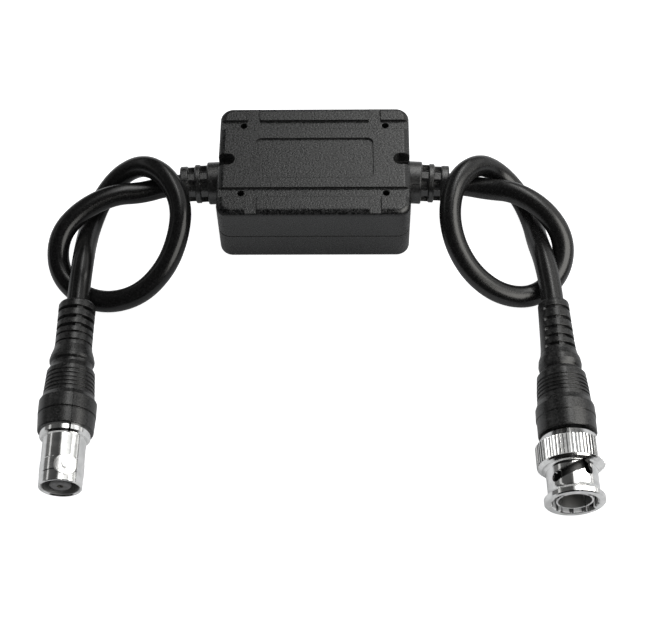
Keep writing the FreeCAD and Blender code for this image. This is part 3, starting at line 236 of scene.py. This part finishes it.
def maths(tree, operation, *values):
    """A maths node whose inputs are numbers or other nodes' sockets."""
    node = add(tree, "ShaderNodeMath", operation=operation)
    for index, value in enumerate(values):
        if isinstance(value, (int, float)):
            node.inputs[index].default_value = value
        else:
            tree.links.new(value, node.inputs[index])
    return node.outputs[0]


def object_coordinates(tree):
    return add(tree, "ShaderNodeTexCoord").outputs["Object"]


def noise(tree, size_mm, detail=2.0, roughness=0.5):
    """Noise with cells of about the given size."""
    node = add(tree, "ShaderNodeTexNoise", Scale=1.0 / (size_mm * MM), Detail=detail,
               Roughness=roughness)
    tree.links.new(object_coordinates(tree), node.inputs["Vector"])
    return node.outputs["Fac"]


def drawn_out(tree, width_mm, length_mm):
    """Noise with cells of about the given width, drawn out along Y as the connectors point."""
    stretch = add(tree, "ShaderNodeMapping", Scale=(1 / (width_mm * MM), 1 / (length_mm * MM),
                                                    1 / (width_mm * MM)))
    tree.links.new(object_coordinates(tree), stretch.inputs["Vector"])
    node = add(tree, "ShaderNodeTexNoise", Scale=1.0, Detail=2.0)
    tree.links.new(stretch.outputs["Vector"], node.inputs["Vector"])
    return node.outputs["Fac"]


def shares(tree, first, second, first_share):
    """Two values added in shares that make one."""
    return maths(tree, "ADD", maths(tree, "MULTIPLY", first, first_share),
                 maths(tree, "MULTIPLY", second, 1 - first_share))


def ramp(tree, value, stops):
    """Colour ramp from a list of (position, grey or colour)."""
    node = add(tree, "ShaderNodeValToRGB")
    elements = node.color_ramp.elements
    while len(elements) < len(stops):
        elements.new(0.5)
    for element, (position, colour) in zip(elements, stops):
        element.position = position
        element.color = (*colour, 1) if isinstance(colour, tuple) else (colour, colour, colour, 1)
    tree.links.new(value, node.inputs["Fac"])
    return node.outputs["Color"]


def mix_in(tree, bsdf, socket, mask, value):
    """Puts a colour, or another node's colour, over what feeds a socket, where the mask is one."""
    mix = add(tree, "ShaderNodeMix", data_type="RGBA")
    tree.links.new(mask, mix.inputs["Factor"])
    tree.links.new(bsdf.inputs[socket].links[0].from_socket, mix.inputs[MIX_FIRST])
    if isinstance(value, tuple):
        mix.inputs[MIX_SECOND].default_value = value
    else:
        tree.links.new(value, mix.inputs[MIX_SECOND])
    tree.links.new(mix.outputs[MIX_RESULT], bsdf.inputs[socket])


def bump(tree, height, depth_mm, strength=1.0, after=None):
    node = add(tree, "ShaderNodeBump", Strength=strength, Distance=depth_mm * MM)
    tree.links.new(height, node.inputs["Height"])
    if after is not None:
        tree.links.new(after, node.inputs["Normal"])
    return node.outputs["Normal"]


def rounded_edges(tree, radius_mm):
    return add(tree, "ShaderNodeBevel", Radius=radius_mm * MM,
               samples=EDGE_SAMPLES).outputs["Normal"]


# Zones round an axis, each a mask of zeros and ones

def both(tree, first, second):
    return maths(tree, "MULTIPLY", first, second)


def along_axis(tree, origin, axis):
    """Distance in metres from a point along an axis."""
    node = add(tree, "ShaderNodeVectorMath", operation="DOT_PRODUCT")
    node.inputs[1].default_value = axis
    tree.links.new(object_coordinates(tree), node.inputs[0])
    return maths(tree, "SUBTRACT", node.outputs["Value"],
                 sum(o * a for o, a in zip(origin, axis)))


def from_axis(tree, origin, axis):
    """Distance in metres from an axis."""
    arm = add(tree, "ShaderNodeVectorMath", operation="SUBTRACT")
    arm.inputs[1].default_value = origin
    tree.links.new(object_coordinates(tree), arm.inputs[0])
    cross = add(tree, "ShaderNodeVectorMath", operation="CROSS_PRODUCT")
    cross.inputs[1].default_value = axis
    tree.links.new(arm.outputs["Vector"], cross.inputs[0])
    length = add(tree, "ShaderNodeVectorMath", operation="LENGTH")
    tree.links.new(cross.outputs["Vector"], length.inputs[0])
    return length.outputs["Value"]


def turned_from_top(axis, degrees):
    """Two directions square to an axis: one turned from the top towards +X, and one beside it."""
    forward = Vector(axis)
    up = (Vector((0, 0, 1)) - forward * forward.z).normalized()
    side = up.cross(forward)
    angle = math.radians(degrees)
    return (up * math.cos(angle) + side * math.sin(angle),
            side * math.cos(angle) - up * math.sin(angle))


def front_core(tree, tail, axis, start, radius):
    """What lies in front of a station and within a radius of the axis."""
    return both(tree, maths(tree, "GREATER_THAN", along_axis(tree, tail, axis), start),
                maths(tree, "LESS_THAN", from_axis(tree, tail, axis), radius))


# Painted shade: the inside of the jack's mouth, made greyer and duller
def jack_bore(tree):
    return front_core(tree, JACK_TAIL, JACK_AXIS, JACK_BORE_FROM, JACK_BORE_WITHIN)


def jack_slit(tree):
    """The narrow slit in the jack's flange, painted near-black as shade where no light gets in."""
    up, side = turned_from_top(JACK_AXIS, JACK_SLIT_ANGLE)
    station = along_axis(tree, JACK_TAIL, JACK_AXIS)
    beside = maths(tree, "ABSOLUTE", along_axis(tree, JACK_TAIL, side))
    flange = both(tree, maths(tree, "GREATER_THAN", station, JACK_FLANGE[0]),
                  maths(tree, "LESS_THAN", station, JACK_FLANGE[1]))
    slit = both(tree, maths(tree, "LESS_THAN", beside, JACK_SLIT_HALF_WIDTH),
                maths(tree, "GREATER_THAN", along_axis(tree, JACK_TAIL, up), JACK_SLIT_FLOOR))
    return both(tree, flange, slit)


def plug_gap(tree):
    """The outside of the plug's shell, deep behind the slot of the coupling ring, painted dark as
    shade.
    """
    return both(tree, maths(tree, "LESS_THAN", along_axis(tree, PLUG_TAIL, PLUG_AXIS),
                            PLUG_DARK_BEHIND),
                maths(tree, "GREATER_THAN", from_axis(tree, PLUG_TAIL, PLUG_AXIS),
                      PLUG_BORE_WITHIN))


# Painted shade: the inside of the plug's mouth, made greyer and duller
def plug_bore(tree):
    return front_core(tree, PLUG_TAIL, PLUG_AXIS, PLUG_BORE_FROM, PLUG_BORE_WITHIN)


def ring_mouth(tree):
    return front_core(tree, PLUG_TAIL, PLUG_AXIS, RING_MOUTH_FROM, RING_MOUTH_WITHIN)


# Materials

def case_plastic():
    """Near-black moulding with a fine eroded grain and slightly rounded, duller edges."""
    material, tree, bsdf = new_material("case_plastic")
    grain = noise(tree, CASE_GRAIN, roughness=0.7)
    tone = shares(tree, grain, noise(tree, CASE_CLOUD), CASE_GRAIN_SHARE)
    tree.links.new(ramp(tree, tone, CASE_TONES), bsdf.inputs["Base Color"])
    rounded = rounded_edges(tree, CASE_EDGE_RADIUS)
    turned = add(tree, "ShaderNodeVectorMath", operation="DOT_PRODUCT")
    tree.links.new(rounded, turned.inputs[0])
    tree.links.new(add(tree, "ShaderNodeNewGeometry").outputs["Normal"], turned.inputs[1])
    edge = maths(tree, "MULTIPLY", maths(tree, "SUBTRACT", 1.0, turned.outputs["Value"]),
                 CASE_EDGE_DULLING)
    rough = maths(tree, "ADD",
                  maths(tree, "MULTIPLY_ADD", grain, CASE_ROUGH_SWING, CASE_ROUGH),
                  maths(tree, "MINIMUM", edge, CASE_EDGE_DULLEST))
    tree.links.new(rough, bsdf.inputs["Roughness"])
    tree.links.new(bump(tree, grain, CASE_BUMP, after=rounded), bsdf.inputs["Normal"])
    bsdf.inputs["Specular IOR Level"].default_value = CASE_SPECULAR
    return material


def moulded_rubber(name, specular):
    """Black overmoulding, half glossy, with a dusty speckle."""
    material, tree, bsdf = new_material(name)
    grain = noise(tree, RUBBER_GRAIN, detail=4.0, roughness=0.7)
    tone = shares(tree, grain, noise(tree, RUBBER_CLOUD, detail=3.0), RUBBER_GRAIN_SHARE)
    tree.links.new(ramp(tree, tone, RUBBER_TONES), bsdf.inputs["Base Color"])
    tree.links.new(maths(tree, "MULTIPLY_ADD", grain, RUBBER_ROUGH_SWING, RUBBER_ROUGH),
                   bsdf.inputs["Roughness"])
    tree.links.new(bump(tree, grain, RUBBER_BUMP, RUBBER_BUMP_STRENGTH,
                        rounded_edges(tree, RUBBER_EDGE_RADIUS)), bsdf.inputs["Normal"])
    bsdf.inputs["Specular IOR Level"].default_value = specular
    return material


def cable_jacket(name, roughness, specular):
    """Smooth extruded black jacket, slightly wavy."""
    material, tree, bsdf = new_material(name)
    fine = noise(tree, JACKET_GRAIN)
    tree.links.new(ramp(tree, fine, JACKET_TONES), bsdf.inputs["Base Color"])
    tree.links.new(maths(tree, "MULTIPLY_ADD", fine, JACKET_ROUGH_SWING, roughness),
                   bsdf.inputs["Roughness"])
    tree.links.new(bump(tree, noise(tree, JACKET_WAVE, detail=1.0), JACKET_BUMP,
                        JACKET_BUMP_STRENGTH), bsdf.inputs["Normal"])
    bsdf.inputs["Specular IOR Level"].default_value = specular
    return material


def nickel_plate(name, tint=PLATE_TINT, rough=PLATE_ROUGH, rough_swing=PLATE_SWING):
    """Bright plating with the faint unevenness of a turned and plated surface."""
    material, tree, bsdf = new_material(name)
    bsdf.inputs["Metallic"].default_value = 1.0
    stain = noise(tree, PLATE_STAIN, detail=4.0)
    stained = tuple(channel * PLATE_STAIN_SHARE for channel in tint)
    tree.links.new(ramp(tree, stain, [(0.35, stained), (0.6, tint)]), bsdf.inputs["Base Color"])
    tree.links.new(maths(tree, "MULTIPLY_ADD", stain, rough_swing, rough),
                   bsdf.inputs["Roughness"])
    tree.links.new(bump(tree, noise(tree, PLATE_GRAIN), PLATE_BUMP, PLATE_BUMP_STRENGTH),
                   bsdf.inputs["Normal"])
    return material


def plate_with_painted_shade(name, zones):
    """Plating with painted shade in zones, each a mask and a grey, duller there too."""
    material = nickel_plate(name)
    tree = material.node_tree
    bsdf = tree.nodes["Principled BSDF"]
    for zone, grey in zones:
        mask = zone(tree)
        mix_in(tree, bsdf, "Base Color", mask, (grey, grey, grey, 1))
        mix_in(tree, bsdf, "Roughness", mask, (ZONE_ROUGH, ZONE_ROUGH, ZONE_ROUGH, 1))
    return material


def coupling_ring_plate():
    """Plating with faint draw marks along the ring, and a painted reflection inside its mouth:
    light and dark streaks on a mostly non-metal surface.
    """
    material = nickel_plate("coupling_ring_plate")
    tree = material.node_tree
    bsdf = tree.nodes["Principled BSDF"]
    marks = drawn_out(tree, DRAWN_WIDTH, DRAWN_LENGTH)
    tree.links.new(bump(tree, marks, DRAWN_BUMP, DRAWN_BUMP_STRENGTH,
                        bsdf.inputs["Normal"].links[0].from_socket), bsdf.inputs["Normal"])
    # Painted reflection: light and dark streaks in the ring's mouth
    mouth = ring_mouth(tree)
    mix_in(tree, bsdf, "Base Color", mouth, ramp(tree, marks, MOUTH_PAINTED_REFLECTION))
    tree.links.new(maths(tree, "MULTIPLY_ADD", mouth, MOUTH_METALLIC - 1, 1.0),
                   bsdf.inputs["Metallic"])
    return material


def plain(name, dark, light, size_mm, rough, metallic=0.0):
    """A hidden or small piece: two tones mottled at a given size."""
    material, tree, bsdf = new_material(name)
    bsdf.inputs["Metallic"].default_value = metallic
    mottle = noise(tree, size_mm, detail=3.0)
    tree.links.new(ramp(tree, mottle, [(0.35, dark), (0.65, light)]), bsdf.inputs["Base Color"])
    tree.links.new(maths(tree, "MULTIPLY_ADD", mottle, MOTTLE_ROUGH_SWING, rough),
                   bsdf.inputs["Roughness"])
    tree.links.new(bump(tree, mottle, MOTTLE_BUMP, MOTTLE_BUMP_STRENGTH), bsdf.inputs["Normal"])
    return material


def woven_braid():
    material, tree, bsdf = new_material("woven_braid")
    bsdf.inputs["Metallic"].default_value = 1.0
    bsdf.inputs["Roughness"].default_value = BRAID_ROUGH
    weave = add(tree, "ShaderNodeTexWave", Scale=BRAID_SCALE, Distortion=BRAID_DISTORTION,
                bands_direction="DIAGONAL")
    tree.links.new(object_coordinates(tree), weave.inputs["Vector"])
    height = weave.outputs["Fac"]
    tree.links.new(ramp(tree, height, BRAID_TONES), bsdf.inputs["Base Color"])
    tree.links.new(bump(tree, height, BRAID_BUMP, BRAID_BUMP_STRENGTH), bsdf.inputs["Normal"])
    return material


def build_materials():
    return {
        "case": case_plastic(),
        "moulding": moulded_rubber("boot_rubber", BOOT_SPECULAR),
        "relief": moulded_rubber("relief_rubber", RELIEF_SPECULAR),
        "jacket": cable_jacket("left_jacket", **LEFT_JACKET),
        "right_jacket": cable_jacket("right_jacket", **RIGHT_JACKET),
        "nickel": nickel_plate("nickel_plate"),
        "lugs": nickel_plate("turned_pins", (0.97, 0.97, 0.96), 0.32),
        "jack_body": plate_with_painted_shade("jack_body_plate", [(jack_bore, JACK_BORE_PAINTED_SHADE),
                                                      (jack_slit, JACK_SLIT_PAINTED_SHADE)]),
        "plug_body": plate_with_painted_shade("plug_body_plate", [(plug_gap, PLUG_GAP_PAINTED_SHADE),
                                                      (plug_bore, PLUG_BORE_PAINTED_SHADE)]),
        "ring": coupling_ring_plate(),
        "spring": nickel_plate("spring_steel", (0.6, 0.6, 0.58), 0.2),
        "contact": nickel_plate("contact_plate", (0.78, 0.76, 0.7), 0.2),
        "insulator": plain("insulator", 0.08, 0.13, 0.6, 0.45),
        "gasket": plain("gasket", 0.015, 0.03, 0.5, 0.5),
        "board": plain("solder_mask", (0.008, 0.11, 0.04), (0.012, 0.16, 0.06), 1.5, 0.25),
        "ferrite": plain("coated_ferrite", (0.05, 0.09, 0.07), (0.08, 0.13, 0.1), 0.4, 0.4),
        "copper": plain("enamelled_copper", (0.5, 0.16, 0.06), (0.75, 0.3, 0.12), 0.3, 0.2, 1.0),
        "ceramic": plain("dipped_ceramic", (0.55, 0.26, 0.06), (0.68, 0.36, 0.1), 0.8, 0.25),
        "resistor": plain("resistor_coat", (0.5, 0.38, 0.24), (0.62, 0.5, 0.34), 0.8, 0.3),
        "braid": woven_braid(),
        "polythene": plain("polythene", 0.7, 0.85, 1.0, 0.4)}


def dress(frame, materials):
    """Each node takes its slot's material, or its own where it has one."""
    for part in frame["record"]["subparts"]:
        node = frame["nodes"][part["node"]]
        node.data.materials.clear()
        node.data.materials.append(
            materials[OWN_MATERIALS.get(part["node"], part["material_slot"])])


# Leads and spring

def lead(name, route, material):
    curve = bpy.data.curves.new(name, "CURVE")
    curve.dimensions = "3D"
    spline = curve.splines.new("NURBS")
    spline.points.add(len(route) - 1)
    for point, (x, y, z) in zip(spline.points, route):
        point.co = (x * MM, y * MM, z * MM, 1.0)
    spline.order_u = CORD_ORDER
    spline.use_endpoint_u = True
    spline.resolution_u = CORD_RESOLUTION
    curve.bevel_depth = CABLE_DIAMETER / 2 * MM
    curve.bevel_resolution = CORD_ROUNDNESS
    curve.use_fill_caps = True
    curve.materials.append(material)
    cord = bpy.data.objects.new(name, curve)
    bpy.context.scene.collection.objects.link(cord)
    return cord


def add_leads(materials):
    for name, route, start, length, pieces, jacket in (
            ("cable_left", LEFT_ROUTE, LEFT_EXIT, LEFT_LENGTH, JACK_PIECES, "jacket"),
            ("cable_right", RIGHT_ROUTE, RIGHT_EXIT, RIGHT_LENGTH, PLUG_PIECES, "right_jacket")):
        cord = lead(name, route, materials[jacket])
        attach(cord, "isolator")
        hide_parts("lead_" + name.split("_")[1])


def flatten_spring(frame):
    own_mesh(frame["nodes"]["wave_spring"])


# Stage

def add_floor():
    half = FLOOR_SIZE / 2
    mesh = bpy.data.meshes.new("floor")
    mesh.from_pydata([(-half, -half, 0), (half, -half, 0), (half, half, 0), (-half, half, 0)],
                     [], [(0, 1, 2, 3)])
    material, tree, bsdf = new_material("pale_floor")
    reach = add(tree, "ShaderNodeVectorMath", operation="LENGTH")
    tree.links.new(object_coordinates(tree), reach.inputs[0])
    far = maths(tree, "DIVIDE", reach.outputs["Value"], FLOOR_FAR)
    tree.links.new(ramp(tree, far, [(FLOOR_NEAR / FLOOR_FAR, FLOOR_COLOUR),
                                    (1.0, FLOOR_FAR_COLOUR)]), bsdf.inputs["Base Color"])
    bsdf.inputs["Roughness"].default_value = FLOOR_ROUGH
    bsdf.inputs["Specular IOR Level"].default_value = 0.0
    path = add(tree, "ShaderNodeLightPath")
    mirrored = maths(tree, "MAXIMUM", path.outputs["Is Glossy Ray"],
                     path.outputs["Is Transmission Ray"])
    glow = maths(tree, "ADD", maths(tree, "MULTIPLY", path.outputs["Is Camera Ray"], FLOOR_GLOW),
                 maths(tree, "MULTIPLY", mirrored, FLOOR_REFLECTED_GLOW))
    bsdf.inputs["Emission Color"].default_value = (1, 1, 1, 1)
    tree.links.new(glow, bsdf.inputs["Emission Strength"])
    mesh.materials.append(material)
    floor = bpy.data.objects.new("floor", mesh)
    bpy.context.scene.collection.objects.link(floor)


def backdrop(tree, strength):
    return add(tree, "ShaderNodeBackground", Color=(1, 1, 1, 1), Strength=strength).outputs[0]


def either(tree, chooser, otherwise, chosen):
    """One of two shaders: the chosen one where the chooser is one."""
    node = add(tree, "ShaderNodeMixShader")
    tree.links.new(chooser, node.inputs["Fac"])
    tree.links.new(otherwise, node.inputs[1])
    tree.links.new(chosen, node.inputs[2])
    return node.outputs[0]


def add_world():
    """White to the eye, soft grey as light, and banded like long soft boxes to shiny surfaces."""
    world = bpy.data.worlds.new("studio")
    world.use_nodes = True
    bpy.context.scene.world = world
    tree = world.node_tree
    tree.nodes.clear()
    split = add(tree, "ShaderNodeSeparateXYZ")
    tree.links.new(add(tree, "ShaderNodeTexCoord").outputs["Generated"], split.inputs[0])
    angle = maths(tree, "ARCTAN2", split.outputs["X"], split.outputs["Z"])
    turn = maths(tree, "MULTIPLY_ADD", angle, 1 / (2 * math.pi), 0.5)
    bands = ramp(tree, turn, [
        ((degrees + 180) / 360, tuple(level / BAND_SCALE * tint for tint in BAND_TINT))
        for degrees, level in REFLECTED_BANDS])
    depth = ramp(tree, maths(tree, "MULTIPLY_ADD", split.outputs["Y"], 0.5, 0.5),
                 [(y / 2 + 0.5, share / DEPTH_SCALE) for y, share in REFLECTED_DEPTH])
    reflected = add(tree, "ShaderNodeBackground")
    tree.links.new(bands, reflected.inputs["Color"])
    tree.links.new(maths(tree, "MULTIPLY", depth, BAND_SCALE * DEPTH_SCALE),
                   reflected.inputs["Strength"])
    path = add(tree, "ShaderNodeLightPath")
    again = maths(tree, "GREATER_THAN", path.outputs["Glossy Depth"], SECOND_REFLECTION)
    mirrored = either(tree, again, reflected.outputs[0], backdrop(tree, TWICE_REFLECTED))
    lighting = either(tree, path.outputs["Is Glossy Ray"], backdrop(tree, WORLD_SOFT), mirrored)
    seen = maths(tree, "MAXIMUM", path.outputs["Is Camera Ray"],
                 path.outputs["Is Transmission Ray"])
    output = add(tree, "ShaderNodeOutputWorld")
    tree.links.new(either(tree, seen, lighting, backdrop(tree, 1.0)), output.inputs["Surface"])


def area_light(name, place, size, energy):
    """A lit rectangle that points at the origin."""
    data = bpy.data.lights.new(name, "AREA")
    data.shape = "RECTANGLE"
    data.size, data.size_y = size
    data.energy = energy
    light = bpy.data.objects.new(name, data)
    light.location = place
    light.rotation_euler = (-Vector(place)).to_track_quat("-Z", "Y").to_euler()
    bpy.context.scene.collection.objects.link(light)
    return light


def add_lights():
    key = area_light("key", KEY_PLACE, KEY_SIZE, KEY_POWER)
    key.visible_glossy = False
    card = area_light("card_right", CARD_PLACE, CARD_SIZE,
                      CARD_BRIGHTNESS * math.pi * CARD_SIZE[0] * CARD_SIZE[1])
    card.data.color = CARD_COLOUR
    card.visible_camera = False
    card.visible_diffuse = False


def add_camera():
    data = bpy.data.cameras.new("camera")
    data.lens = CAMERA_LENS
    data.sensor_width = CAMERA_SENSOR
    data.clip_start, data.clip_end = CAMERA_CLIP
    camera = bpy.data.objects.new("camera", data)
    axes = Matrix((CAMERA_RIGHT, CAMERA_UP, [-c for c in CAMERA_FORWARD])).transposed().to_4x4()
    camera.matrix_world = Matrix.Translation(CAMERA_PLACE) @ axes
    bpy.context.scene.collection.objects.link(camera)
    bpy.context.scene.camera = camera


def build_scene(frame):
    bpy.context.scene.view_settings.view_transform = "Standard"
    add_camera()
    materials = build_materials()
    dress(frame, materials)
    add_leads(materials)
    flatten_spring(frame)
    add_floor()
    add_world()
    add_lights()


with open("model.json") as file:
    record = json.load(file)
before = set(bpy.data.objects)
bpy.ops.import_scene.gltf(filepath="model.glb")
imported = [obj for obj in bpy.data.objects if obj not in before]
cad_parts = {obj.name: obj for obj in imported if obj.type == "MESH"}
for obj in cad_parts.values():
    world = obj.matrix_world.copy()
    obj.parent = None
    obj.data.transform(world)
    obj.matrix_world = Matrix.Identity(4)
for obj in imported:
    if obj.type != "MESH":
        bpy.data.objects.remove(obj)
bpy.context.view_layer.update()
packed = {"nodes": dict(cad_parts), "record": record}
build_scene(packed)
